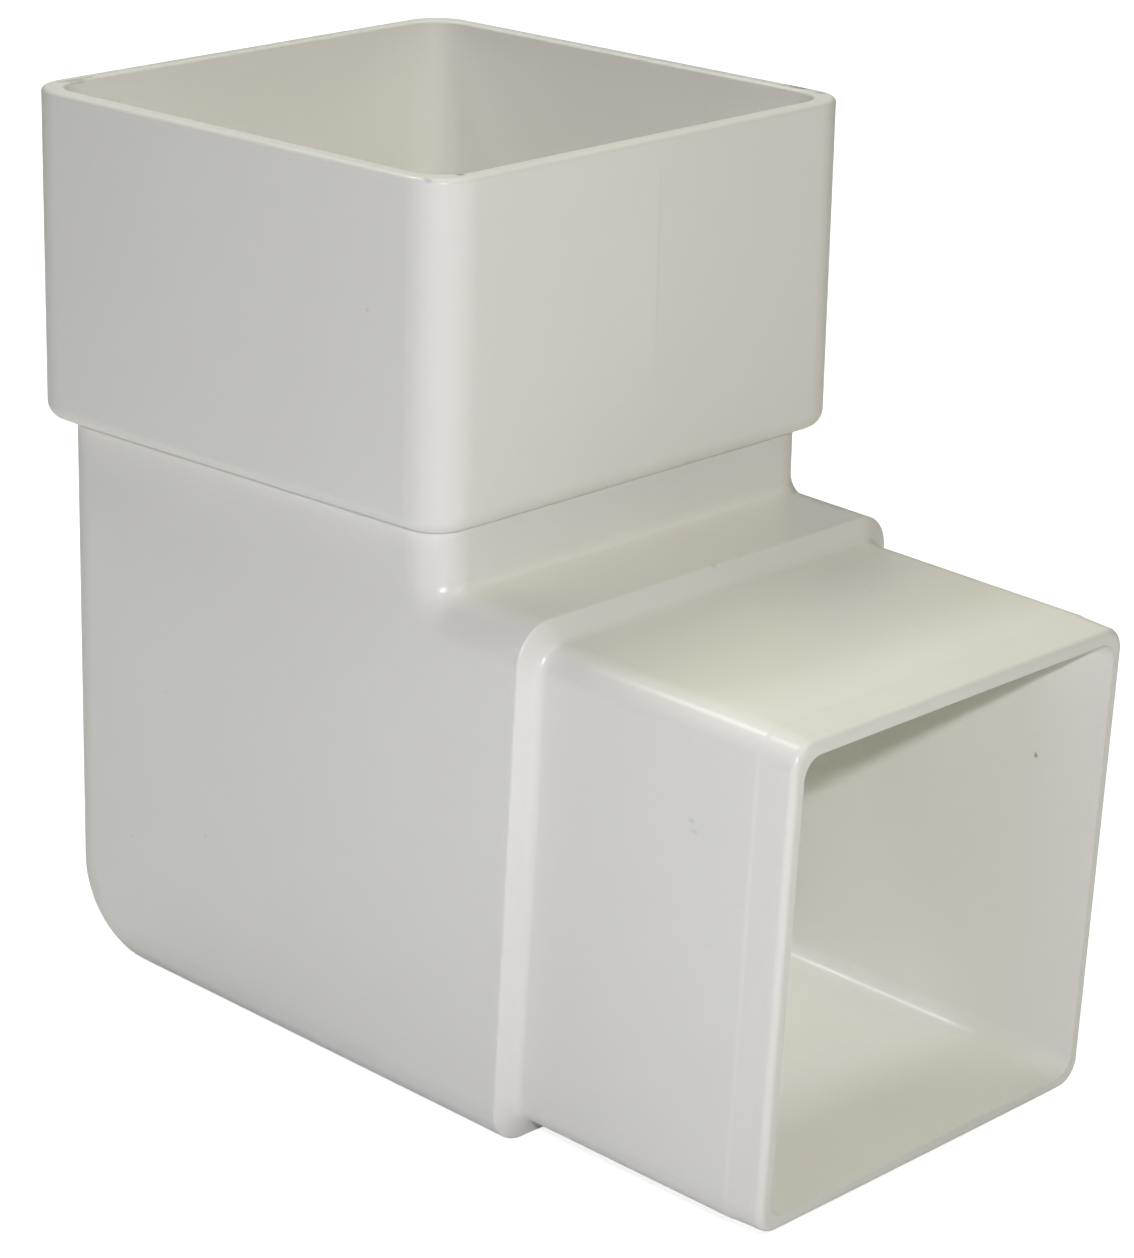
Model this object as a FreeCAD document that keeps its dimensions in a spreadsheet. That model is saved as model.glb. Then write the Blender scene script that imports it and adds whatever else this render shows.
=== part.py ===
import FreeCAD, Part
import math
import os
import Sketcher
from FreeCAD import Vector

# Square downpipe elbow, moulded in one piece: a socket that takes the pipe from above, an upright
# limb that turns at a rounded heel, and a spigot that falls slightly as it leaves.
# The origin is on the socket's axis at the pipe stop, +Z points up out of the socket and +X is
# the way the spigot leaves. Lengths are in millimetres and angles in degrees.

NODE = "downpipe_elbow"
TOLERANCE = 1e-4

SIZES = (
    ("pipe_size", 65.0, "outside of the square downpipe, and of the limbs that run flush with it"),
    ("pipe_wall", 2.0, "wall of the downpipe"),
    ("socket_clearance", 0.5, "gap round the pipe in the socket, on each side"),
    ("socket_wall", 2.2, "wall of the socket"),
    ("socket_depth", 38.3, "from the rim down to the pipe stop"),
    ("socket_corner", 4.6, "corner radius inside the socket"),
    ("stop_thickness", 2.6, "from the pipe stop down to the underside of the collar"),
    ("collar_corner", 5.5, "outside corner radius of the collar"),
    ("collar_round", 2.2, "rounding of the collar's lower edge"),
    ("rim_round", 0.6, "rounding of the rim's outer edge"),
    ("rim_lead", 0.4, "rounding of the rim's inner edge"),
    ("limb_wall", 2.2, "wall of the upright limb at the pipe stop"),
    ("limb_corner", 5.0, "outside corner radius of both limbs"),
    ("cavity_corner", 2.6, "corner radius inside the upright limb"),
    ("cavity_draft", 1.5, "lean of the upright limb's inner walls, which close in downwards"),
    ("heel_radius", 12.4, "outside radius of the heel"),
    ("throat_radius", 1.4, "radius between the upright limb's front and the shelf"),
    ("fall_angle", 2.5, "fall of the spigot below level"),
    ("axis_drop", 41.2, "from the pipe stop down to the crossing of the two axes"),
    ("shoulder_reach", 45.2, "from the crossing of the axes to the shoulder's foot, along the spigot"),
    ("shoulder_slope", 1.25, "length of the shoulder's sloping face along the spigot"),
    ("shoulder_round", 0.3, "rounding of the shoulder's edge"),
    ("spigot_clearance", 0.65, "gap round the spigot in the pipe, on each side"),
    ("spigot_length", 36.9, "from the shoulder's foot to the spigot's end"),
    ("spigot_wall", 2.0, "wall of the spigot before its lead-in"),
    ("spigot_corner", 3.5, "outside corner radius of the spigot"),
    ("bore_corner", 2.6, "corner radius inside the spigot"),
    ("lead_in_length", 5.2, "length of the lead-in at the spigot's end"),
    ("lead_in_ramp", 0.6, "length of the ramp that starts the lead-in"),
    ("lead_in_step", 0.1, "how far that ramp draws each side in"),
    ("lead_in_depth", 0.2, "how far the taper after the ramp draws each side in"),
    ("end_round", 0.9, "rounding of the spigot's outer end edge"),
    ("root_round", 1.2, "hollow rounding between the shoulder and the spigot"),
)

# Sizes that follow from the pipe, its clearances and the walls, as expressions on the sheet.
SOCKET_BORE = "(Sizes.pipe_size + 2 * Sizes.socket_clearance)"
COLLAR_SIZE = f"({SOCKET_BORE} + 2 * Sizes.socket_wall)"
COLLAR_HEIGHT = "(Sizes.socket_depth + Sizes.stop_thickness)"
CAVITY_SIZE = "(Sizes.pipe_size - 2 * Sizes.limb_wall)"
CAVITY_HEEL = "(Sizes.heel_radius - Sizes.limb_wall)"
SPIGOT_SIZE = "(Sizes.pipe_size - 2 * Sizes.pipe_wall - 2 * Sizes.spigot_clearance)"
SPIGOT_BORE = f"({SPIGOT_SIZE} - 2 * Sizes.spigot_wall)"
SPIGOT_REACH = "(Sizes.shoulder_reach + Sizes.spigot_length)"
LIMB_REACH = "(Sizes.shoulder_reach - Sizes.shoulder_slope)"

# The lead-in starts with a short ramp, and tapers less from there to the end.
RAMP_REACH = f"({SPIGOT_REACH} - Sizes.lead_in_length)"
RAMP_TAPER = "-atan(Sizes.lead_in_step / Sizes.lead_in_ramp)"
LEAD_IN_REACH = f"({RAMP_REACH} + Sizes.lead_in_ramp)"
LEAD_IN_SIZE = f"({SPIGOT_SIZE} - 2 * Sizes.lead_in_step)"
LEAD_IN_CORNER = "(Sizes.spigot_corner - Sizes.lead_in_step)"
LEAD_IN_RUN = "(Sizes.lead_in_length - Sizes.lead_in_ramp)"
LEAD_IN_TAPER = f"-atan(Sizes.lead_in_depth / {LEAD_IN_RUN})"

# The shoulder's rounding and the hollow at its foot share the step from the limb to the spigot.
SHOULDER_STEP = "(Sizes.pipe_wall + Sizes.spigot_clearance)"
MOST_FOR_ROUND = 0.15
MOST_FOR_ROOT = 0.75
SHOULDER_ROUND = f"min(Sizes.shoulder_round; {MOST_FOR_ROUND} * {SHOULDER_STEP})"
ROOT_ROUND = f"min(Sizes.root_round; {MOST_FOR_ROOT} * {SHOULDER_STEP})"


def make_sheet(doc):
    """Write the driving dimensions into the sheet, one named cell each."""
    sheet = doc.addObject("Spreadsheet::Sheet", "Sizes")
    for row, (alias, value, note) in enumerate(SIZES, start=1):
        sheet.set(f"A{row}", alias)
        sheet.set(f"B{row}", str(value))
        sheet.set(f"C{row}", note)
        sheet.setAlias(f"B{row}", alias)
    doc.recompute()
    return sheet


def make_body(doc, label):
    """An empty body with its own label."""
    body = doc.addObject("PartDesign::Body", label.title().replace("_", ""))
    body.Label = label
    return body


def make_sketch(body, name, role, offsets=(), turn=None):
    """A sketch on one of the body's origin planes, moved by offsets and turned about its X axis."""
    sketch = body.newObject("Sketcher::SketchObject", name)
    plane = next(feature for feature in body.Origin.OriginFeatures if feature.Role == role)
    sketch.AttachmentSupport = [(plane, "")]
    sketch.MapMode = "FlatFace"
    if turn:
        sketch.AttachmentOffset = FreeCAD.Placement(Vector(), FreeCAD.Rotation(Vector(1, 0, 0), 1))
        sketch.setExpression("AttachmentOffset.Rotation.Angle", turn)
    for direction, expression in offsets:
        sketch.setExpression(f"AttachmentOffset.Base.{direction}", expression)
    return sketch


def relate(sketch, *constraint):
    """Add one geometric constraint."""
    sketch.addConstraint(Sketcher.Constraint(*constraint))


def measure(sketch, name, expression, *constraint):
    """Add one dimension and tie it to the sheet."""
    value = float(sketch.evalExpression(expression))
    if constraint[0] == "Angle":
        value = math.radians(value)
    index = sketch.addConstraint(Sketcher.Constraint(*constraint, value))
    sketch.renameConstraint(index, name)
    sketch.setExpression(f"Constraints.{name}", expression)


def draw_loop(sketch, pieces, inward=()):
    """Add lines and arcs end to end, tangent at every arc. Arcs numbered in inward run backwards."""
    for piece in pieces:
        sketch.addGeometry(piece, False)
    for number, piece in enumerate(pieces):
        following = (number + 1) % len(pieces)
        straight = isinstance(piece, Part.LineSegment) and isinstance(pieces[following], Part.LineSegment)
        end = 1 if number in inward else 2
        start = 2 if following in inward else 1
        relate(sketch, "Coincident" if straight else "Tangent", number, end, following, start)


def arc(centre, radius, first_degrees, last_degrees):
    """An arc about a centre, counted anticlockwise."""
    circle = Part.Circle(centre, Vector(0, 0, 1), radius)
    return Part.ArcOfCircle(circle, math.radians(first_degrees), math.radians(last_degrees))


def draw_rounded_square(sketch, size, corner):
    """Draw a square with rounded corners about the sketch's origin."""
    radius = float(sketch.evalExpression(corner))
    half = float(sketch.evalExpression(size)) / 2
    inner = half - radius
    pieces = []
    for quarter in (0, 90, 180, 270):
        turn = FreeCAD.Rotation(Vector(0, 0, 1), quarter)
        start = turn.multVec(Vector(-inner, -half, 0))
        end = turn.multVec(Vector(inner, -half, 0))
        pieces.append(Part.LineSegment(start, end))
        pieces.append(arc(turn.multVec(Vector(inner, -inner, 0)), radius, quarter - 90, quarter))
    draw_loop(sketch, pieces)
    bottom, lower_right, right, upper_right, top, upper_left, left, lower_left = range(8)
    for line in (bottom, top):
        relate(sketch, "Horizontal", line)
    for line in (right, left):
        relate(sketch, "Vertical", line)
    for rounded in (upper_right, upper_left, lower_left):
        relate(sketch, "Equal", lower_right, rounded)
    relate(sketch, "Equal", bottom, right)
    relate(sketch, "Symmetric", upper_right, 3, lower_left, 3, -1, 1)
    measure(sketch, "corner", corner, "Radius", lower_right)
    measure(sketch, "size", size, "DistanceX", left, 1, right, 2)


def square_across_spigot(body, name, reach, size, corner):
    """A rounded square about the falling spigot axis, at a reach from the crossing of the axes."""
    offsets = (
        ("y", f"-Sizes.axis_drop - {reach} * sin(Sizes.fall_angle * 1 deg)"),
        ("z", f"{reach} * cos(Sizes.fall_angle * 1 deg)"),
    )
    sketch = make_sketch(body, name, "YZ_Plane", offsets, "Sizes.fall_angle")
    draw_rounded_square(sketch, size, corner)
    return sketch


class SpigotLine:
    """The falling spigot axis in the side view, as a construction line that profiles hang on."""

    def __init__(self, sketch):
        self.sketch = sketch
        fall = FreeCAD.Rotation(Vector(0, 0, 1), -self.value("Sizes.fall_angle"))
        self.along = fall.multVec(Vector(1, 0, 0))
        self.up = fall.multVec(Vector(0, 1, 0))
        self.crossing = Vector(0, -self.value("Sizes.axis_drop"), 0)

    def value(self, expression):
        """The number that an expression on the sheet stands for."""
        return float(self.sketch.evalExpression(expression))

    def point(self, reach, height):
        """A point at a reach along the axis and a height square to it."""
        return self.crossing + self.along * reach + self.up * height

    def draw(self):
        """Add the line, tied to the sheet, and return its number."""
        start, end = self.crossing, self.point(self.value(LIMB_REACH), 0)
        line = self.sketch.addGeometry(Part.LineSegment(start, end), True)
        relate(self.sketch, "PointOnObject", line, 1, -2)
        measure(self.sketch, "axis_drop", "Sizes.axis_drop", "DistanceY", line, 1, -1, 1)
        measure(self.sketch, "fall", "-Sizes.fall_angle", "Angle", line)
        measure(self.sketch, "reach", LIMB_REACH, "Distance", line)
        return line


def draw_limbs_side(sketch):
    """Draw the outside of both limbs as seen from the side, with the heel and the throat."""
    axis = SpigotLine(sketch)
    half = axis.value("Sizes.pipe_size") / 2
    heel = axis.value("Sizes.heel_radius")
    throat = axis.value("Sizes.throat_radius")
    fall = axis.value("Sizes.fall_angle")
    reach = axis.value(LIMB_REACH)
    heel_centre = axis.point(heel - half, heel - half)
    throat_centre = axis.point(half + throat, half + throat)
    back_top = Vector(-half, 0, 0)
    front_top = Vector(half, 0, 0)
    front_low = axis.point(reach, -half)
    front_high = axis.point(reach, half)
    pieces = (
        Part.LineSegment(back_top, heel_centre - Vector(heel, 0, 0)),
        arc(heel_centre, heel, 180, 270 - fall),
        Part.LineSegment(heel_centre - axis.up * heel, front_low),
        Part.LineSegment(front_low, front_high),
        Part.LineSegment(front_high, throat_centre - axis.up * throat),
        arc(throat_centre, throat, 180, 270 - fall),
        Part.LineSegment(throat_centre - Vector(throat, 0, 0), front_top),
        Part.LineSegment(front_top, back_top),
    )
    back, heel_arc, floor, front, shelf, throat_arc, wall, top = range(len(pieces))
    draw_loop(sketch, pieces, inward=(throat_arc,))
    line = axis.draw()
    for upright in (back, wall):
        relate(sketch, "Vertical", upright)
    relate(sketch, "PointOnObject", back, 1, -1)
    relate(sketch, "Symmetric", back, 1, top, 1, -2)
    for sloping in (floor, shelf):
        relate(sketch, "Parallel", sloping, line)
    relate(sketch, "Perpendicular", front, line)
    relate(sketch, "Symmetric", front, 1, front, 2, line, 2)
    measure(sketch, "upright_size", "Sizes.pipe_size", "DistanceX", back, 1, top, 1)
    measure(sketch, "level_size", "Sizes.pipe_size", "Distance", front)
    measure(sketch, "heel", "Sizes.heel_radius", "Radius", heel_arc)
    measure(sketch, "throat", "Sizes.throat_radius", "Radius", throat_arc)


def draw_cavity_side(sketch):
    """Draw the hollow of the upright limb from the side, its floor flush with the spigot's bore."""
    axis = SpigotLine(sketch)
    half = axis.value(CAVITY_SIZE) / 2
    heel = axis.value(CAVITY_HEEL)
    depth = axis.value(SPIGOT_BORE) / 2
    fall = axis.value("Sizes.fall_angle")
    draft = axis.value("Sizes.cavity_draft")
    closing = math.tan(math.radians(draft)) * (axis.value("Sizes.axis_drop") + depth)
    heel_centre = axis.point(heel + closing - half, heel - depth)
    back_top = Vector(-half, 0, 0)
    front_top = Vector(half, 0, 0)
    front_low = axis.point(half - closing, -depth)
    pieces = (
        Part.LineSegment(back_top, heel_centre - Vector(heel, 0, 0)),
        arc(heel_centre, heel, 180 + draft, 270 - fall),
        Part.LineSegment(heel_centre - axis.up * heel, front_low),
        Part.LineSegment(front_low, front_top),
        Part.LineSegment(front_top, back_top),
    )
    back, heel_arc, floor, wall, top = range(len(pieces))
    draw_loop(sketch, pieces)
    line = axis.draw()
    relate(sketch, "PointOnObject", back, 1, -1)
    relate(sketch, "Symmetric", back, 1, top, 1, -2)
    relate(sketch, "Parallel", floor, line)
    measure(sketch, "back_lean", "Sizes.cavity_draft - 90", "Angle", back)
    measure(sketch, "front_lean", "90 - Sizes.cavity_draft", "Angle", wall)
    measure(sketch, "upright_size", CAVITY_SIZE, "DistanceX", back, 1, top, 1)
    measure(sketch, "floor_depth", f"{SPIGOT_BORE} / 2", "Distance", floor, 2, line)
    measure(sketch, "heel", CAVITY_HEEL, "Radius", heel_arc)


def pad(body, name, sketch, length, both_ways=False, taper=None):
    """Push a sketch out by a length, both ways about its plane or with a taper where asked."""
    feature = body.newObject("PartDesign::Pad", name)
    feature.Profile = sketch
    feature.Midplane = both_ways
    feature.setExpression("Length", length)
    if taper:
        feature.setExpression("TaperAngle", taper)
    body.Document.recompute()
    return feature


def loft(body, name, first, last):
    """Join two sketches with straight-sided faces."""
    feature = body.newObject("PartDesign::AdditiveLoft", name)
    feature.Profile = first
    feature.Sections = [last]
    feature.Ruled = True
    body.Document.recompute()
    return feature


def pocket(body, name, sketch, length):
    """Cut a sketch into the body by a length."""
    before = body.Shape.Volume
    feature = body.newObject("PartDesign::Pocket", name)
    feature.Profile = sketch
    feature.setExpression("Length", length)
    body.Document.recompute()
    if body.Shape.Volume >= before:
        raise RuntimeError(f"{name} cuts nothing")
    return feature


def combine(body, name, kind, tools):
    """Fuse other bodies to this one, or cut them out of it."""
    feature = body.newObject("PartDesign::Boolean", name)
    feature.Type = kind
    feature.setObjects(tools)
    body.Document.recompute()
    return feature


def round_edges(body, name, base, radius, chosen):
    """Round every edge of the base feature that the test accepts."""
    numbered = enumerate(base.Shape.Edges, start=1)
    edges = [f"Edge{number}" for number, edge in numbered if chosen(edge)]
    feature = body.newObject("PartDesign::Fillet", name)
    feature.Base = (base, edges)
    feature.setExpression("Radius", radius)
    body.Document.recompute()
    return feature


def lean_sides(body, name, base, angle):
    """Lean the two faces that look sideways, about the level plane, so that they close in downwards."""
    numbered = enumerate(base.Shape.Faces, start=1)
    faces = [f"Face{number}" for number, face in numbered if abs(face.normalAt(0, 0).y) > 1 - TOLERANCE]
    level = next(feature for feature in body.Origin.OriginFeatures if feature.Role == "XY_Plane")
    feature = body.newObject("PartDesign::Draft", name)
    feature.Base = (base, faces)
    feature.NeutralPlane = (level, "")
    feature.Reversed = True
    feature.setExpression("Angle", angle)
    body.Document.recompute()
    # The first pass only ties the draft to its base, and the second one leans the faces.
    feature.touch()
    body.Document.recompute()
    if feature.Shape.Volume >= base.Shape.Volume:
        raise RuntimeError(f"{name} leans outwards")
    return feature


def samples(edge):
    """The start, middle and end of an edge."""
    first, last = edge.ParameterRange
    return [edge.valueAt(first), edge.valueAt((first + last) / 2), edge.valueAt(last)]


def lies_on(place, normal):
    """A test for edges that lie in the plane through a place, square to a normal."""
    def test(edge):
        return all(abs((point - place).dot(normal)) < TOLERANCE for point in samples(edge))
    return test


class Planes:
    """The planes that edges are picked by, worked out from the sheet."""

    def __init__(self, sheet):
        fall = math.radians(sheet.fall_angle)
        self.spigot = Vector(math.cos(fall), 0, -math.sin(fall))
        self.crossing = Vector(0, 0, -sheet.axis_drop)
        self.sheet = sheet

    def level(self, height):
        """A test for edges at one height."""
        return lies_on(Vector(0, 0, height), Vector(0, 0, 1))

    def across_spigot(self, reach):
        """A test for edges in a plane square to the spigot."""
        return lies_on(self.crossing + self.spigot * reach, self.spigot)

    def side(self, half_width, lean=0):
        """A test for edges on either of two side planes, upright or leaning in downwards."""
        angle = math.radians(lean)
        left = lies_on(Vector(0, -half_width, 0), Vector(0, -math.cos(angle), -math.sin(angle)))
        right = lies_on(Vector(0, half_width, 0), Vector(0, math.cos(angle), -math.sin(angle)))
        return lambda edge: left(edge) or right(edge)


def make_limbs(doc, planes):
    """The outside of the upright and the level limb, from the socket to the shoulder's edge."""
    body = make_body(doc, "limbs")
    sheet = planes.sheet
    sketch = make_sketch(body, "LimbsSide", "XZ_Plane")
    draw_limbs_side(sketch)
    block = pad(body, "LimbsBlock", sketch, "Sizes.pipe_size", both_ways=True)
    on_side = planes.side(sheet.pipe_size / 2)
    on_top = planes.level(0)
    on_front = planes.across_spigot(sheet.shoulder_reach - sheet.shoulder_slope)

    def is_corner(edge):
        return on_side(edge) and not on_top(edge) and not on_front(edge)

    round_edges(body, "LimbCorners", block, "Sizes.limb_corner", is_corner)
    return body


def add_spigot(body, planes):
    """The sloping shoulder, the spigot and its lead-in, added to the outside of the limbs."""
    sheet = planes.sheet
    foot_reach = "Sizes.shoulder_reach"
    corner = "Sizes.spigot_corner"
    edge = square_across_spigot(body, "ShoulderEdge", LIMB_REACH, "Sizes.pipe_size", "Sizes.limb_corner")
    foot = square_across_spigot(body, "ShoulderFoot", foot_reach, SPIGOT_SIZE, corner)
    loft(body, "Shoulder", edge, foot)
    run = square_across_spigot(body, "SpigotSection", foot_reach, SPIGOT_SIZE, corner)
    pad(body, "SpigotRun", run, "Sizes.spigot_length - Sizes.lead_in_length")
    ramp = square_across_spigot(body, "RampSection", RAMP_REACH, SPIGOT_SIZE, corner)
    pad(body, "LeadInRamp", ramp, "Sizes.lead_in_ramp", taper=RAMP_TAPER)
    taper = square_across_spigot(body, "LeadInSection", LEAD_IN_REACH, LEAD_IN_SIZE, LEAD_IN_CORNER)
    whole = pad(body, "LeadIn", taper, LEAD_IN_RUN, taper=LEAD_IN_TAPER)
    on_end = planes.across_spigot(sheet.shoulder_reach + sheet.spigot_length)
    whole = round_edges(body, "EndRound", whole, "Sizes.end_round", on_end)
    on_foot = planes.across_spigot(sheet.shoulder_reach)
    whole = round_edges(body, "Root", whole, ROOT_ROUND, on_foot)
    on_edge = planes.across_spigot(sheet.shoulder_reach - sheet.shoulder_slope)
    round_edges(body, "ShoulderRound", whole, SHOULDER_ROUND, on_edge)


def make_cavity(doc, planes):
    """The core that hollows the upright limb, from the pipe stop to the floor."""
    body = make_body(doc, "cavity")
    sheet = planes.sheet
    sketch = make_sketch(body, "CavitySide", "XZ_Plane")
    draw_cavity_side(sketch)
    block = pad(body, "CavityBlock", sketch, CAVITY_SIZE, both_ways=True)
    block = lean_sides(body, "CavityDraft", block, "Sizes.cavity_draft")
    on_side = planes.side(sheet.pipe_size / 2 - sheet.limb_wall, sheet.cavity_draft)
    on_top = planes.level(0)

    def is_corner(edge):
        return on_side(edge) and not on_top(edge)

    round_edges(body, "CavityCorners", block, "Sizes.cavity_corner", is_corner)
    return body


def make_elbow(doc, planes):
    """The whole elbow: collar, limbs and spigot as one solid, hollowed from end to end."""
    limbs = make_limbs(doc, planes)
    add_spigot(limbs, planes)
    cavity = make_cavity(doc, planes)
    body = make_body(doc, NODE)
    sheet = planes.sheet
    underside = (("z", "-Sizes.stop_thickness"),)
    sketch = make_sketch(body, "CollarSection", "XY_Plane", underside)
    draw_rounded_square(sketch, COLLAR_SIZE, "Sizes.collar_corner")
    collar = pad(body, "Collar", sketch, COLLAR_HEIGHT)
    on_underside = planes.level(-sheet.stop_thickness)
    collar = round_edges(body, "CollarRound", collar, "Sizes.collar_round", on_underside)
    on_rim = planes.level(sheet.socket_depth)
    round_edges(body, "RimRound", collar, "Sizes.rim_round", on_rim)
    combine(body, "Joined", "Fuse", [limbs])

    sketch = make_sketch(body, "SocketSection", "XY_Plane", (("z", "Sizes.socket_depth"),))
    draw_rounded_square(sketch, SOCKET_BORE, "Sizes.socket_corner")
    socket = pocket(body, "Socket", sketch, "Sizes.socket_depth")
    inside_rim = sheet.pipe_size / 2 + sheet.socket_clearance + TOLERANCE

    def is_rim_lead(edge):
        return on_rim(edge) and all(max(abs(p.x), abs(p.y)) < inside_rim for p in samples(edge))

    round_edges(body, "RimLead", socket, "Sizes.rim_lead", is_rim_lead)
    combine(body, "Hollow", "Cut", [cavity])
    sketch = square_across_spigot(body, "BoreSection", SPIGOT_REACH, SPIGOT_BORE, "Sizes.bore_corner")
    pocket(body, "SpigotBore", sketch, SPIGOT_REACH)
    return body


def check(doc, body):
    """Stop if any object failed to compute, or the elbow isn't one valid solid."""
    for thing in doc.Objects:
        if "Invalid" in thing.State or "Error" in thing.State:
            raise RuntimeError(f"{thing.Name} failed: {thing.State}")
    if body.Shape.isNull() or not body.Shape.isValid() or len(body.Shape.Solids) != 1:
        raise RuntimeError(f"{body.Label} is not one valid solid")


def main():
    doc = FreeCAD.newDocument("DownpipeElbow")
    planes = Planes(make_sheet(doc))
    elbow = make_elbow(doc, planes)
    doc.recompute()
    check(doc, elbow)
    os.makedirs("parts", exist_ok=True)
    elbow.Shape.exportStep(os.path.join("parts", f"{elbow.Label}.step"))
    box = elbow.Shape.optimalBoundingBox()
    print(f"{elbow.Label}: {box.XLength:.2f} x {box.YLength:.2f} x {box.ZLength:.2f} mm")
    print(f"volume {elbow.Shape.Volume / 1000:.2f} cubic centimetres")


main()
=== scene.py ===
"""Dress a square downpipe elbow and light it as a plain studio picture.

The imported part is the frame. Its one node keeps its mesh and gets a moulded gloss plastic, and the
fine seam that the two halves of the mould leave is swept along the part's own section at its plane
of symmetry.

Lengths are metres in the part's frame: the origin lies on the socket's axis at the pipe stop, +Z
points up out of the socket, +X the way the spigot leaves, and the part is symmetric about Y = 0.
"""

import logging
import math
from dataclasses import dataclass, replace
from enum import Enum

import bmesh
import bpy
from mathutils import Matrix, Vector


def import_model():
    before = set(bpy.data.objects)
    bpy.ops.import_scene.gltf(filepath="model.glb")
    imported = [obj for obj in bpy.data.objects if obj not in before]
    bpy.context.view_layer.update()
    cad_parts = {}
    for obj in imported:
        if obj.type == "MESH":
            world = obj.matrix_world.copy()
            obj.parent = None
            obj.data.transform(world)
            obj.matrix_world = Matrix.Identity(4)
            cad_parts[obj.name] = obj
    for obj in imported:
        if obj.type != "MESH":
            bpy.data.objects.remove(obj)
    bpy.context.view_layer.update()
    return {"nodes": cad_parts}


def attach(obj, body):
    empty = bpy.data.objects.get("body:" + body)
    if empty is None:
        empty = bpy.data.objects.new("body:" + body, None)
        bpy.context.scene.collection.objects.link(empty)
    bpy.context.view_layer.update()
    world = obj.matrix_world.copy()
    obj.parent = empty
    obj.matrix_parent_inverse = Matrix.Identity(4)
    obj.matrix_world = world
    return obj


LOG = logging.getLogger("downpipe_elbow")

BODY = "root"
ELBOW_NODE = "downpipe_elbow"

PHOTO_HEIGHT = 1258  # pixels, the long side of the picture
MM = 0.001
WELD = 0.0001 * MM  # points closer than this are one

Colour = tuple[float, float, float]
Place = tuple[float, float, float]


class Socket(Enum):
    """Kinds of socket on a shader node group."""

    VALUE = "NodeSocketFloat"
    VECTOR = "NodeSocketVector"


class Wall(Enum):
    """The two walls that the plane of symmetry cuts through."""

    THROAT = "throat"  # collar front, shelf, shoulder and spigot top
    HEEL = "heel"  # collar back, heel, underside and spigot bottom


@dataclass(frozen=True)
class Swell:
    """The make-up of one soft noise."""

    size: float  # metres, the length of one swell
    detail: float  # how many finer layers are added
    roughness: float  # how strong the finer layers are


class NodePen:
    """Places and links the nodes of one shader tree."""

    COLUMN_WIDTH = 220

    def __init__(self, tree: bpy.types.NodeTree) -> None:
        """Keep the tree and the column that the next node goes in."""
        self.tree = tree
        self.column = 0

    def add(self, kind: str, **settings: object) -> bpy.types.Node:
        """Add a node.

        Args:
            kind: The node's type, without its ShaderNode prefix.
            settings: Properties of the node to set.

        Returns:
            The new node.
        """
        node = self.tree.nodes.new("ShaderNode" + kind)
        node.location = (self.COLUMN_WIDTH * self.column, 0)
        self.column += 1
        for name, value in settings.items():
            setattr(node, name, value)
        return node

    def feed(self, node: bpy.types.Node, socket: str | int, source: object) -> None:
        """Link a socket, or set its value.

        Args:
            node: The node that is fed.
            socket: The name or the number of its input.
            source: A socket to link, or a plain value.
        """
        target = node.inputs[socket]
        if isinstance(source, bpy.types.NodeSocket):
            self.tree.links.new(source, target)
        else:
            target.default_value = source

    def sum(self, operation: str, *terms: object) -> bpy.types.NodeSocket:
        """Work out a value.

        Args:
            operation: The Math node's operation.
            terms: Sockets or numbers, in the order of the node's inputs.

        Returns:
            The socket with the result.
        """
        node = self.add("Math", operation=operation)
        for index, term in enumerate(terms):
            self.feed(node, index, term)
        return node.outputs[0]

    def ramp(
        self, value: object, low: float, high: float, to_low: float = 0.0, to_high: float = 1.0
    ) -> bpy.types.NodeSocket:
        """Carry a value from one range to another, with ends that ease in and out.

        Args:
            value: The socket to carry over.
            low: The value that becomes to_low.
            high: The value that becomes to_high.
            to_low: The result at the low end.
            to_high: The result at the high end.

        Returns:
            The socket with the result, held between its ends.
        """
        node = self.add("MapRange", interpolation_type="SMOOTHSTEP")
        for index, term in enumerate((value, low, high, to_low, to_high)):
            self.feed(node, index, term)
        return node.outputs[0]

    def blend(self, factor: object, first: object, second: object) -> bpy.types.NodeSocket:
        """Mix two colours.

        Args:
            factor: How much of the second colour shows.
            first: The colour where the factor is 0.
            second: The colour where the factor is 1.

        Returns:
            The socket with the mixed colour.
        """
        node = self.add("Mix", data_type="RGBA")
        self.feed(node, "Factor", factor)
        for name, colour in (("A", first), ("B", second)):
            target = next(item for item in node.inputs if item.name == name and item.type == "RGBA")
            if isinstance(colour, bpy.types.NodeSocket):
                self.tree.links.new(colour, target)
            else:
                target.default_value = (*colour, 1.0)
        return next(item for item in node.outputs if item.type == "RGBA")

    def span(self, operation: str, first: object, second: object) -> bpy.types.NodeSocket:
        """Work out a vector.

        Args:
            operation: The Vector Math node's operation.
            first: The vector to start from.
            second: The other vector.

        Returns:
            The socket with the result.
        """
        node = self.add("VectorMath", operation=operation)
        self.feed(node, 0, first)
        self.feed(node, 1, second)
        return node.outputs["Vector"]

    def place(self) -> bpy.types.NodeSocket:
        """Return the point being shaded, in the part's own frame."""
        return self.add("TexCoord").outputs["Object"]

    def noise(self, place: object, swell: Swell) -> bpy.types.NodeSocket:
        """Make soft noise.

        Args:
            place: The point being shaded.
            swell: The noise's make-up.

        Returns:
            The socket with the noise, around 0.5.
        """
        node = self.add("TexNoise")
        self.feed(node, "Vector", place)
        self.feed(node, "Scale", 1.0 / swell.size)
        self.feed(node, "Detail", swell.detail)
        self.feed(node, "Roughness", swell.roughness)
        return node.outputs[0]


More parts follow.
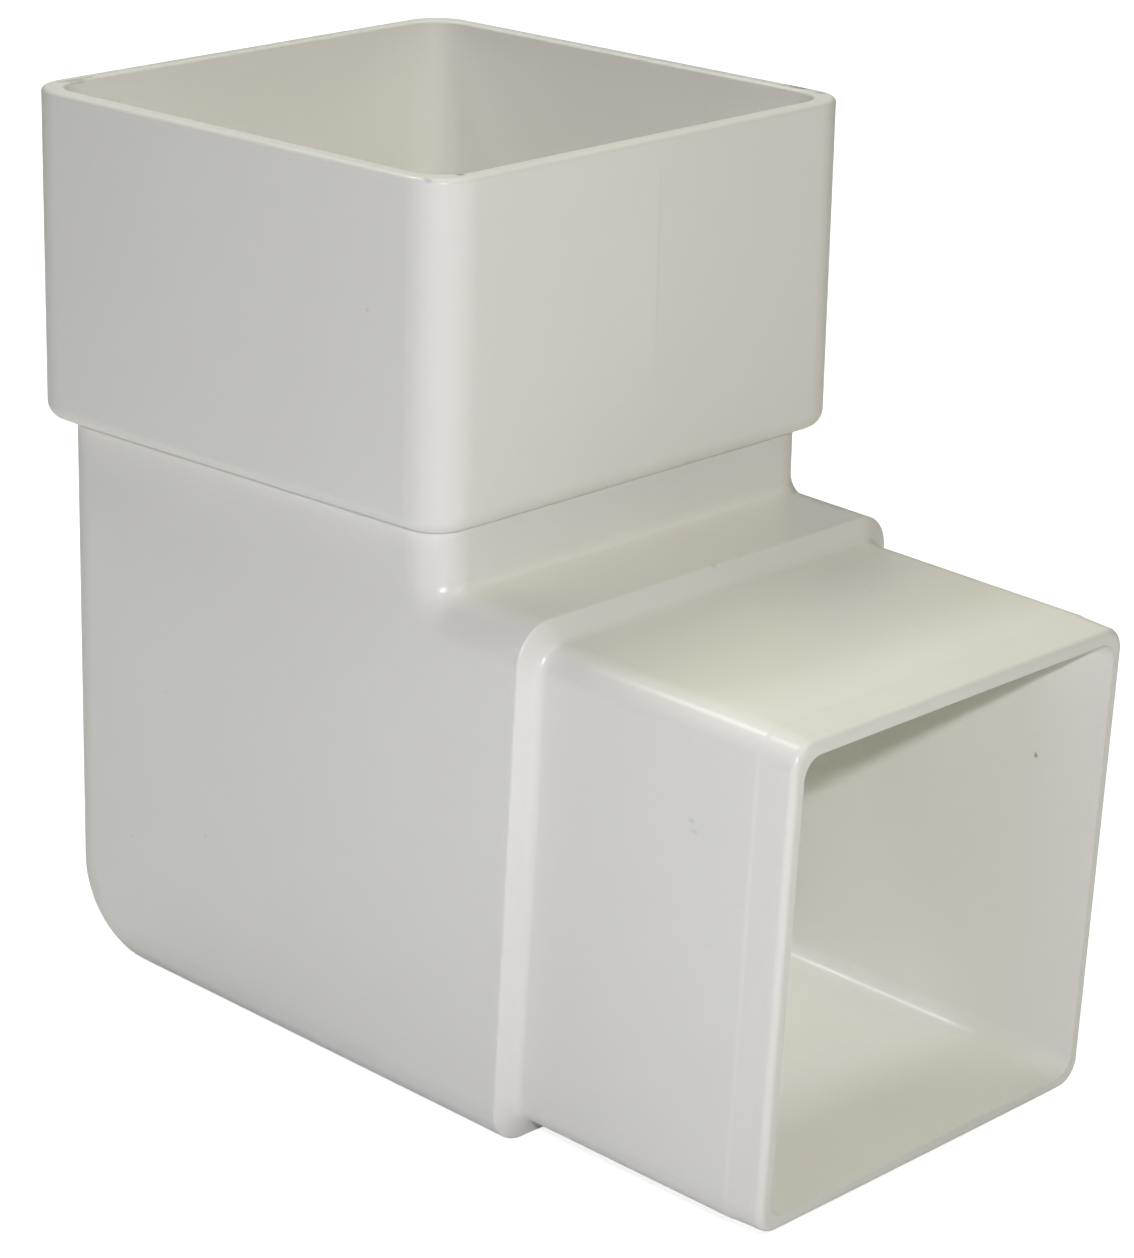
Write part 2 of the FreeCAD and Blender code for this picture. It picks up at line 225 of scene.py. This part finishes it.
class EffectGroup:
    """A shader node group with named inputs and outputs, built once and shared by the finishes."""

    name = "effect"
    inputs: dict[str, float | Place] = {}
    outputs: dict[str, Socket] = {}

    RESULT_X = 4000  # where the group's output node stands

    def tree(self) -> bpy.types.NodeTree:
        """Return the group, built the first time it is asked for."""
        kept = bpy.data.node_groups.get(self.name)
        if kept is not None:
            return kept
        tree = bpy.data.node_groups.new(self.name, "ShaderNodeTree")
        for name, value in self.inputs.items():
            kind = Socket.VECTOR if isinstance(value, tuple) else Socket.VALUE
            item = tree.interface.new_socket(name, in_out="INPUT", socket_type=kind.value)
            item.default_value = value
        for name, kind in self.outputs.items():
            tree.interface.new_socket(name, in_out="OUTPUT", socket_type=kind.value)
        pen = NodePen(tree)
        given = tree.nodes.new("NodeGroupInput")
        result = tree.nodes.new("NodeGroupOutput")
        result.location = (self.RESULT_X, 0)
        for name, socket in self.draw(pen, given).items():
            tree.links.new(socket, result.inputs[name])
        return tree

    def draw(self, pen: NodePen, given: bpy.types.Node) -> dict[str, bpy.types.NodeSocket]:
        """Draw the group's nodes.

        Args:
            pen: The pen on the group's tree.
            given: The node that holds the group's inputs.

        Returns:
            The socket for each of the group's outputs.
        """
        raise NotImplementedError

    def stamp(self, pen: NodePen, **values: float | Place) -> bpy.types.Node:
        """Place the group in a material.

        Args:
            pen: The pen on the material's tree.
            values: The group's inputs, with a space in a name written as an underscore.

        Returns:
            The group's node.
        """
        node = pen.add("Group")
        node.node_tree = self.tree()
        for name, value in values.items():
            node.inputs[name.replace("_", " ").capitalize()].default_value = value
        return node


class MouldSkin(EffectGroup):
    """The skin that a polished mould leaves: shallow waves, fine grain and a cloudy flow of the plastic."""

    name = "mould_skin"
    inputs = {"Wave height": 0.00004, "Grain height": 0.000002, "Draft": 0.012}
    outputs = {"Cloud": Socket.VALUE, "Haze": Socket.VALUE, "Height": Socket.VALUE}

    WAVE = Swell(26 * MM, 1.0, 0.4)
    GRAIN = Swell(0.5 * MM, 2.0, 0.5)
    CLOUD = Swell(48 * MM, 3.0, 0.55)
    HAZE = Swell(7 * MM, 4.0, 0.6)
    CLOUD_RANGE = (0.32, 0.68)  # noise from no cloud to full cloud
    HAZE_RANGE = (0.35, 0.7)

    def draw(self, pen: NodePen, given: bpy.types.Node) -> dict[str, bpy.types.NodeSocket]:
        """Draw waves and grain as a height, and the clouds as masks."""
        place = pen.place()
        cloud = pen.noise(place, self.CLOUD)
        haze = pen.noise(place, self.HAZE)
        wave = pen.sum("MULTIPLY", pen.noise(place, self.WAVE), given.outputs["Wave height"])
        grain = pen.sum("MULTIPLY", pen.noise(place, self.GRAIN), given.outputs["Grain height"])
        across = pen.add("SeparateXYZ")
        pen.feed(across, 0, place)
        fall = pen.sum("MULTIPLY", pen.sum("ABSOLUTE", across.outputs["Y"]), given.outputs["Draft"])
        return {
            "Cloud": pen.ramp(cloud, *self.CLOUD_RANGE),
            "Haze": pen.ramp(haze, *self.HAZE_RANGE),
            "Height": pen.sum("SUBTRACT", pen.sum("ADD", wave, grain), fall),
        }


class DustSpecks(EffectGroup):
    """Faint specks of dust and pigment, thinly scattered, some darker than others."""

    name = "dust_specks"
    inputs = {"Share": 0.06}
    outputs = {"Mask": Socket.VALUE}

    SPACING = 3.4 * MM
    RADIUS = 0.10  # of the spacing
    CORE = 0.2  # share of the radius that is fully dark
    FAINTEST = 0.15
    RARITY = 3.0  # the higher, the fewer dark ones

    def draw(self, pen: NodePen, given: bpy.types.Node) -> dict[str, bpy.types.NodeSocket]:
        """Draw a dot in the few cells that the share picks, each with its own strength."""
        cells = pen.add("TexVoronoi")
        pen.feed(cells, "Vector", pen.place())
        pen.feed(cells, "Scale", 1.0 / self.SPACING)
        dot = pen.ramp(cells.outputs["Distance"], self.RADIUS, self.CORE * self.RADIUS)
        pick = pen.add("SeparateColor")
        pen.feed(pick, 0, cells.outputs["Color"])
        chosen = pen.sum("LESS_THAN", pick.outputs["Red"], given.outputs["Share"])
        rare = pen.sum("POWER", pick.outputs["Green"], self.RARITY)
        strength = pen.ramp(rare, 0.0, 1.0, self.FAINTEST, 1.0)
        return {"Mask": pen.sum("MULTIPLY", pen.sum("MULTIPLY", dot, chosen), strength)}


class GrimeAndShadeSpot(EffectGroup):
    """A soft dark smear around one place, broken up by fine noise: real grime at some places, painted shade
    at others.
    """

    name = "grime_and_shade_spot"
    inputs = {"Centre": (0.0, 0.0, 0.0), "Reach": (MM, MM, MM), "Strength": 1.0}
    outputs = {"Mask": Socket.VALUE}

    SMEAR = Swell(0.9 * MM, 3.0, 0.6)
    SMEAR_RANGE = (0.3, 0.7)
    RAGGED = 0.22  # how far the smear's edge wanders, as a share of its reach
    CORE = 0.2  # share of the reach that is fully dark

    def draw(self, pen: NodePen, given: bpy.types.Node) -> dict[str, bpy.types.NodeSocket]:
        """Draw an egg-shaped smear that fades from its middle."""
        place = pen.place()
        away = pen.span("SUBTRACT", place, given.outputs["Centre"])
        away = pen.span("DIVIDE", away, given.outputs["Reach"])
        size = pen.add("VectorMath", operation="LENGTH")
        pen.feed(size, 0, away)
        smear_noise = pen.noise(place, self.SMEAR)
        ragged = pen.ramp(smear_noise, *self.SMEAR_RANGE, -self.RAGGED, self.RAGGED)
        smear = pen.ramp(pen.sum("ADD", size.outputs["Value"], ragged), 1.0, self.CORE)
        return {"Mask": pen.sum("MULTIPLY", smear, given.outputs["Strength"])}


@dataclass(frozen=True)
class GrimeAndShadeMark:
    """A place where the skin is darkened: real grime at some places, painted shade at others."""

    centre: Place  # millimetres
    reach: Place  # millimetres each way
    strength: float

    def mask(self, pen: NodePen) -> bpy.types.NodeSocket:
        """Return the mark's mask in a material."""
        centre = tuple(value * MM for value in self.centre)
        reach = tuple(value * MM for value in self.reach)
        return GrimeAndShadeSpot().stamp(pen, centre=centre, reach=reach, strength=self.strength).outputs["Mask"]


@dataclass(frozen=True)
class MouldedPlastic:
    """Off-white gloss plastic as it leaves the mould."""

    name: str
    colour: Colour
    cloud_colour: Colour
    speck_colour: Colour
    speck_share: float
    grime_and_shade_colour: Colour
    # colour of the dark marks, which are grime in some places and painted shade in others
    gloss_roughness: float
    haze_roughness: float
    wave_height: float
    grain_height: float
    marks: tuple[GrimeAndShadeMark, ...] = ()
    index: float = 1.52

    def material(self) -> bpy.types.Material:
        """Build the material with its nodes."""
        material = bpy.data.materials.new(self.name)
        material.use_nodes = True
        material.diffuse_color = (*self.colour, 1.0)
        tree = material.node_tree
        tree.nodes.clear()
        pen = NodePen(tree)
        skin = MouldSkin().stamp(pen, wave_height=self.wave_height, grain_height=self.grain_height)
        specks = DustSpecks().stamp(pen, share=self.speck_share)
        clouded = pen.blend(skin.outputs["Cloud"], self.colour, self.cloud_colour)
        coloured = pen.blend(specks.outputs["Mask"], clouded, self.speck_colour)
        # dark marks: grime in some places, painted shade in others
        for mark in self.marks:
            coloured = pen.blend(mark.mask(pen), coloured, self.grime_and_shade_colour)
        roughness = pen.ramp(skin.outputs["Haze"], 0.0, 1.0, self.gloss_roughness, self.haze_roughness)
        bump = pen.add("Bump")
        pen.feed(bump, "Strength", 1.0)
        pen.feed(bump, "Distance", 1.0)
        pen.feed(bump, "Height", skin.outputs["Height"])
        shader = pen.add("BsdfPrincipled")
        pen.feed(shader, "IOR", self.index)
        pen.feed(shader, "Base Color", coloured)
        pen.feed(shader, "Roughness", roughness)
        pen.feed(shader, "Normal", bump.outputs["Normal"])
        out = pen.add("OutputMaterial")
        pen.feed(out, "Surface", shader.outputs[0])
        return material


@dataclass(frozen=True)
class PaleFloor:
    """A pale sheet that the elbow's base rests flat on."""

    contact: Vector
    fall: float  # degrees, the base's own slope
    half_width: float = 4.0
    colour: Colour = (0.85, 0.85, 0.84)
    roughness: float = 0.9
    glow: float = 0.80  # what the camera sees on top of the light it gets

    def build(self) -> bpy.types.Object:
        """Lay the sheet under the base."""
        corner = self.half_width
        mesh = bpy.data.meshes.new("floor")
        corners = [
            (-corner, -corner, 0),
            (corner, -corner, 0),
            (corner, corner, 0),
            (-corner, corner, 0),
        ]
        mesh.from_pydata(corners, [], [(0, 1, 2, 3)])
        mesh.materials.append(self.material())
        floor = bpy.data.objects.new("floor", mesh)
        slope = Matrix.Rotation(math.radians(self.fall), 4, "Y")
        floor.matrix_world = Matrix.Translation(self.contact) @ slope
        bpy.context.scene.collection.objects.link(floor)
        return floor

    def material(self) -> bpy.types.Material:
        """Build the sheet's paper, which the camera sees brighter than the light it throws back."""
        material = bpy.data.materials.new("pale_paper")
        material.use_nodes = True
        tree = material.node_tree
        tree.nodes.clear()
        pen = NodePen(tree)
        path = pen.add("LightPath")
        shader = pen.add("BsdfPrincipled")
        pen.feed(shader, "Base Color", (*self.colour, 1.0))
        pen.feed(shader, "Roughness", self.roughness)
        pen.feed(shader, "Specular IOR Level", 0.0)
        pen.feed(shader, "Emission Color", (1.0, 1.0, 1.0, 1.0))
        seen = pen.sum("MULTIPLY", path.outputs["Is Camera Ray"], self.glow)
        pen.feed(shader, "Emission Strength", seen)
        out = pen.add("OutputMaterial")
        pen.feed(out, "Surface", shader.outputs[0])
        return material


@dataclass(frozen=True)
class SoftBox:
    """A square soft light that faces the elbow."""

    name: str
    azimuth: float  # degrees round from -Y towards +X
    elevation: float  # degrees above the level
    distance: float
    side: float
    power: float  # watts
    colour: Colour
    mirrored: bool = True  # whether gloss shows it

    def build(self, target: Vector) -> bpy.types.Object:
        """Hang the light.

        Args:
            target: The point that the light faces.

        Returns:
            The light's object.
        """
        lamp = bpy.data.lights.new(self.name, "AREA")
        lamp.shape = "SQUARE"
        lamp.size = self.side
        lamp.energy = self.power
        lamp.color = self.colour
        light = bpy.data.objects.new(self.name, lamp)
        away = direction(self.azimuth, self.elevation)
        light.location = target + away * self.distance
        light.rotation_euler = away.to_track_quat("Z", "Y").to_euler()
        light.visible_camera = False
        light.visible_glossy = self.mirrored
        bpy.context.scene.collection.objects.link(light)
        return light


@dataclass(frozen=True)
class Surround:
    """The even light of a white room, and the white that shows behind the floor."""

    colour: Colour
    strength: float
    shown: float = 1.0

    def build(self) -> bpy.types.World:
        """Make the world and give it to the scene."""
        world = bpy.data.worlds.new("white_room")
        world.use_nodes = True
        tree = world.node_tree
        tree.nodes.clear()
        pen = NodePen(tree)
        path = pen.add("LightPath")
        room = pen.add("Background")
        pen.feed(room, "Color", (*self.colour, 1.0))
        pen.feed(room, "Strength", self.strength)
        backdrop = pen.add("Background")
        pen.feed(backdrop, "Color", (1.0, 1.0, 1.0, 1.0))
        pen.feed(backdrop, "Strength", self.shown)
        mix = pen.add("MixShader")
        pen.feed(mix, 0, path.outputs["Is Camera Ray"])
        pen.feed(mix, 1, room.outputs[0])
        pen.feed(mix, 2, backdrop.outputs[0])
        out = pen.add("OutputWorld")
        pen.feed(out, "Surface", mix.outputs[0])
        bpy.context.scene.world = world
        return world


@dataclass(frozen=True)
class StudioCamera:
    """The camera at the picture's own view."""

    target: Vector
    azimuth: float = 42.6834  # degrees round from -Y towards +X
    elevation: float = 19.0469
    roll: float = 1.2845
    distance: float = 0.496278
    focal_pixels: float = 4101.82
    sensor: float = 36.0  # millimetres along the picture's long side

    def build(self) -> bpy.types.Object:
        """Set the camera up and make it the scene's."""
        data = bpy.data.cameras.new("camera")
        data.sensor_width = self.sensor
        data.sensor_fit = "AUTO"
        data.lens = self.sensor * self.focal_pixels / PHOTO_HEIGHT
        data.clip_start = 0.01
        data.clip_end = 50.0
        back = direction(self.azimuth, self.elevation)
        right = direction(self.azimuth + 90.0, 0.0)
        turn = Matrix.Rotation(math.radians(self.roll), 3, back)
        right = turn @ right
        up = back.cross(right)
        camera = bpy.data.objects.new("camera", data)
        axes = Matrix((right, up, back)).transposed().to_4x4()
        camera.matrix_world = Matrix.Translation(self.target + back * self.distance) @ axes
        bpy.context.scene.collection.objects.link(camera)
        bpy.context.scene.camera = camera
        return camera


def direction(azimuth: float, elevation: float) -> Vector:
    """Point away from the elbow.

    Args:
        azimuth: Degrees round from -Y towards +X.
        elevation: Degrees above the level.

    Returns:
        The direction, one metre long.
    """
    turn, rise = math.radians(azimuth), math.radians(elevation)
    level = math.cos(rise)
    return Vector((math.sin(turn) * level, -math.cos(turn) * level, math.sin(rise)))


def smoothstep(share: float) -> float:
    """Ease a share from 0 to 1, held at both ends."""
    held = min(max(share, 0.0), 1.0)
    return held * held * (3.0 - 2.0 * held)


def anticlockwise(outline: list[Vector]) -> list[Vector]:
    """Turn an outline the way that keeps its inside on the left.

    Args:
        outline: Points of a closed outline in the XZ plane.

    Returns:
        The same points, anticlockwise as seen with X to the right and Z up.
    """
    following = outline[1:] + outline[:1]
    area = sum(one.x * other.z - other.x * one.z for one, other in zip(outline, following))
    return outline if area > 0 else outline[::-1]


def evenly(path: list[Vector], pitch: float) -> list[Vector]:
    """Place points along a path at an even pitch.

    Args:
        path: The path's corners.
        pitch: The distance from one point to the next.

    Returns:
        The points, from the path's start.
    """
    points = []
    ahead = 0.0
    for one, other in zip(path, path[1:]):
        length = (other - one).length
        while ahead < length:
            points.append(one.lerp(other, ahead / length))
            ahead += pitch
        ahead -= length
    return points


@dataclass(frozen=True)
class SeamRun:
    """A stretch of the seam, inside a box seen from the side."""

    wall: Wall
    along: tuple[float, float]  # lowest and highest X
    upright: tuple[float, float]  # lowest and highest Z
    height: float
    aside: float  # how far the seam has wandered from the plane of symmetry

    def holds(self, point: Vector) -> bool:
        """Tell whether a point of the section lies in the stretch."""
        in_x = self.along[0] <= point.x <= self.along[1]
        return in_x and self.upright[0] <= point.z <= self.upright[1]


@dataclass
class MouldSeam:
    """The low step where the two halves of the mould meet, swept along the part's own section."""

    node: bpy.types.Object
    plastic: MouldedPlastic
    runs: tuple[SeamRun, ...]
    rise: float = 2.40 * MM  # width of the step's gentle side
    halfway: float = 0.45  # share of the height reached in the middle of that side
    drop: float = 0.36 * MM  # width of its steep side
    tuck: float = 0.10 * MM  # width over which its edges go under the skin
    sunk: float = 0.04 * MM  # how far they go
    pitch: float = 0.30 * MM  # from one ring of points to the next
    fade: float = 3.0 * MM  # length over which an end dies away

    def section(self) -> list[list[Vector]]:
        """Cut the node at the plane of symmetry.

        Returns:
            The outline of each wall that is cut, anticlockwise as seen with X to the right and Z up.
        """
        cut = bmesh.new()
        cut.from_mesh(self.node.data)
        bmesh.ops.remove_doubles(cut, verts=cut.verts, dist=WELD)
        whole = cut.verts[:] + cut.edges[:] + cut.faces[:]
        made = bmesh.ops.bisect_plane(
            cut, geom=whole, dist=WELD, plane_co=(0, 0, 0), plane_no=(0, 1, 0)
        )
        beside: dict[bmesh.types.BMVert, list[bmesh.types.BMVert]] = {}
        for edge in (item for item in made["geom_cut"] if isinstance(item, bmesh.types.BMEdge)):
            for one, other in (edge.verts, reversed(edge.verts)):
                beside.setdefault(one, []).append(other)
        outlines = []
        while beside:
            vert = next(iter(beside))
            outline = []
            while vert is not None:
                outline.append(vert.co.copy())
                following = beside.pop(vert)
                vert = next((other for other in following if other in beside), None)
            outlines.append(anticlockwise(outline))
        cut.free()
        return outlines

    def outside(self, wall: Wall) -> list[Vector]:
        """Pick the outer side of a wall's outline, from the rim to the spigot's end or back.

        Args:
            wall: The wall to follow.

        Returns:
            Points at an even pitch, with the plastic on the left of the way they run.
        """
        side = 1.0 if wall is Wall.THROAT else -1.0

        def outward(points: list[Vector]) -> float:
            """Rate how far a row of even points lies on the wall's outer side."""
            return sum(side * (point.x + point.z) for point in points) / len(points)

        outline = max(self.section(), key=lambda points: outward(evenly(points, self.pitch)))
        rim = max(range(len(outline)), key=lambda index: outline[index].z)
        turned = outline[rim:] + outline[:rim]
        end = max(range(len(turned)), key=lambda index: turned[index].x)
        sides = (turned[:end + 1], turned[end:] + turned[:1])
        return max((evenly(points, self.pitch) for points in sides), key=outward)

    def sweep(self, solid: bmesh.types.BMesh, run: SeamRun) -> None:
        """Sweep the step's profile along one stretch.

        Args:
            solid: The mesh that takes the step.
            run: The stretch to follow.
        """
        path = [point for point in self.outside(run.wall) if run.holds(point)]
        rings = []
        for index, point in enumerate(path):
            way = path[min(index + 1, len(path) - 1)] - path[max(index - 1, 0)]
            out = Vector((way.z, 0.0, -way.x)).normalized()
            to_end = min(index, len(path) - 1 - index) * self.pitch
            lift = smoothstep(to_end / self.fade)
            height = run.height * lift
            foot = -self.sunk * (1.0 - lift)
            under = -2.0 * self.sunk
            profile = (
                (-self.rise - self.tuck, under),
                (-self.rise, foot),
                (-0.5 * self.rise, self.halfway * height + foot),
                (0.0, height + foot),
                (self.drop, foot),
                (self.drop + self.tuck, under),
            )
            middle = point + Vector((0.0, run.aside, 0.0))
            corners = [middle + out * up + Vector((0.0, across, 0.0)) for across, up in profile]
            rings.append([solid.verts.new(corner) for corner in corners])
        for ring, following in zip(rings, rings[1:]):
            for corner in range(len(ring)):
                beside = (corner + 1) % len(ring)
                solid.faces.new((ring[corner], ring[beside], following[beside], following[corner]))
        solid.faces.new(rings[0])
        solid.faces.new(rings[-1])

    def build(self) -> bpy.types.Object:
        """Build the seam's mesh and let it ride with the elbow."""
        solid = bmesh.new()
        for run in self.runs:
            self.sweep(solid, run)
        bmesh.ops.recalc_face_normals(solid, faces=solid.faces)
        mesh = bpy.data.meshes.new("mould_seam")
        solid.to_mesh(mesh)
        solid.free()
        mesh.materials.append(self.plastic.material())
        seam = bpy.data.objects.new("mould_seam", mesh)
        bpy.context.scene.collection.objects.link(seam)
        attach(seam, BODY)
        LOG.info("%s: %d faces in %d stretches", seam.name, len(mesh.polygons), len(self.runs))
        return seam


@dataclass
class Elbow:
    """The moulded elbow itself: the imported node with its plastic."""

    node: bpy.types.Object
    plastic: MouldedPlastic

    def dress(self) -> None:
        """Give every face of the node the plastic."""
        material = self.plastic.material()
        for slot in self.node.material_slots:
            slot.material = material
        LOG.info("%s: %d faces in %s", self.node.name, len(self.node.data.polygons), material.name)


# Dark marks on the skin: grime on the spigot's side, painted shade along the back and right rims and at the
# shoulder's notch, and darkened spots at the rim's corners and inside the spigot.
MARKS = (
    # painted shade: the back and right rims are darkened along their length, which dims their edge line
    GrimeAndShadeMark(centre=(-34.2, 0.0, 38.2), reach=(1.3, 42.0, 0.9), strength=0.16),  # rim, back
    GrimeAndShadeMark(centre=(0.0, 34.2, 38.2), reach=(42.0, 1.3, 0.9), strength=0.16),  # rim, right
    GrimeAndShadeMark(centre=(-33.4, -28.0, 38.2), reach=(0.6, 4.0, 0.6), strength=0.45),  # rim, left corner
    GrimeAndShadeMark(centre=(27.2, 34.2, 38.2), reach=(2.6, 0.7, 0.7), strength=0.7),  # rim, right corner
    GrimeAndShadeMark(centre=(31.0, 33.7, 38.2), reach=(1.0, 0.7, 0.6), strength=0.4),  # beside it
    GrimeAndShadeMark(centre=(33.2, -30.4, 38.2), reach=(0.7, 0.9, 0.6), strength=0.8),  # rim, front corner
    GrimeAndShadeMark(centre=(32.6, -34.4, 38.1), reach=(1.4, 0.4, 0.4), strength=0.3),  # its outer edge
    GrimeAndShadeMark(centre=(73.0, 27.85, -33.9), reach=(0.45, 0.45, 0.45), strength=0.7),  # inside the spigot
    GrimeAndShadeMark(centre=(69.3, -29.85, -27.4), reach=(0.8, 0.5, 0.35), strength=0.14),  # spigot side
    GrimeAndShadeMark(centre=(69.6, -29.85, -28.5), reach=(0.6, 0.5, 0.3), strength=0.12),  # below it
    # painted shade of a small notch where the seam crosses the shoulder's edge
    GrimeAndShadeMark(centre=(45.3, 0.4, -10.6), reach=(0.6, 0.6, 0.7), strength=0.18),  # shoulder
)

BODY_PLASTIC = MouldedPlastic(
    name="elbow_plastic",
    colour=(0.905, 0.893, 0.838),
    cloud_colour=(0.893, 0.880, 0.823),
    speck_colour=(0.50, 0.48, 0.43),
    speck_share=0.06,
    # the dark marks' colour: grime in some places, painted shade in others
    grime_and_shade_colour=(0.16, 0.155, 0.12),
    gloss_roughness=0.28,
    haze_roughness=0.34,
    wave_height=0.00004,
    grain_height=0.000002,
    marks=MARKS,
)

SEAM_PLASTIC = replace(BODY_PLASTIC, name="seam_plastic", marks=())

SEAM_RUNS = (
    SeamRun(Wall.THROAT, along=(34.0 * MM, 36.0 * MM), upright=(9.0 * MM, 37.0 * MM), height=0.035 * MM,
            aside=0.3 * MM),
    SeamRun(Wall.THROAT, along=(47.0 * MM, 58.0 * MM), upright=(-20.0 * MM, -10.0 * MM), height=0.06 * MM,
            aside=1.1 * MM),
    SeamRun(Wall.HEEL, along=(-33.0 * MM, -20.0 * MM), upright=(-75.0 * MM, -3.2 * MM), height=0.05 * MM,
            aside=0.0),
)

MIDDLE = Vector((22.5646, 0.034, -24.129)) * MM  # the point that camera and lights face
BASE_CONTACT = Vector((42.44, 0.0, -75.60)) * MM  # on the floor, a hair under the base
BASE_FALL = 2.5  # degrees

WHITE_ROOM = Surround(colour=(1.0, 1.0, 1.0), strength=0.002)

LAMP_WARM = (1.0, 1.0, 0.83)
LAMP_WARMER = (1.0, 0.98, 0.76)
DAYLIGHT = (0.60, 0.70, 1.0)
WINDOW_WHITE = (0.88, 0.92, 1.0)
ROOM_WHITE = (1.0, 0.975, 0.98)
FLASH_COOL = (0.955, 0.94, 1.0)

LIGHTS = (
    SoftBox(
        "flash", azimuth=46.0, elevation=22.9, distance=0.47,
        side=0.013, power=0.88, colour=FLASH_COOL,
    ),
    SoftBox(
        "window", azimuth=-72.0, elevation=58.0, distance=0.70,
        side=0.07, power=0.72, colour=WINDOW_WHITE,
    ),
    SoftBox(
        "ceiling_left", azimuth=-112.0, elevation=67.0, distance=0.70,
        side=0.24, power=1.76, colour=LAMP_WARM, mirrored=False,
    ),
    SoftBox(
        "ceiling_right", azimuth=87.0, elevation=60.0, distance=0.80,
        side=0.28, power=0.84, colour=LAMP_WARMER,
    ),
    SoftBox(
        "lamp_right", azimuth=105.0, elevation=46.0, distance=0.70,
        side=0.12, power=0.14, colour=LAMP_WARMER,
    ),
    SoftBox(
        "side_right", azimuth=160.0, elevation=50.0, distance=0.80,
        side=0.20, power=0.36, colour=LAMP_WARM, mirrored=False,
    ),
    SoftBox(
        "front_fill", azimuth=16.0, elevation=-2.0, distance=0.34,
        side=0.06, power=0.072, colour=DAYLIGHT, mirrored=False,
    ),
    SoftBox(
        "room_behind", azimuth=225.0, elevation=9.0, distance=0.90,
        side=0.24, power=1.9, colour=ROOM_WHITE, mirrored=False,
    ),
    SoftBox(
        "backdrop", azimuth=225.0, elevation=20.0, distance=0.90,
        side=0.35, power=0.15, colour=DAYLIGHT,
    ),
)


def main() -> None:
    """Load the frame, dress the elbow, and set the stage, the lights and the camera."""
    logging.basicConfig(level=logging.INFO, format="%(name)s: %(message)s")
    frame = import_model()
    elbow = frame["nodes"][ELBOW_NODE]
    Elbow(elbow, BODY_PLASTIC).dress()
    MouldSeam(elbow, SEAM_PLASTIC, SEAM_RUNS).build()
    PaleFloor(BASE_CONTACT, BASE_FALL).build()
    for light in LIGHTS:
        light.build(MIDDLE)
    WHITE_ROOM.build()
    StudioCamera(MIDDLE).build()
    bpy.context.scene.view_settings.view_transform = "Standard"


if __name__ == "__main__":
    main()
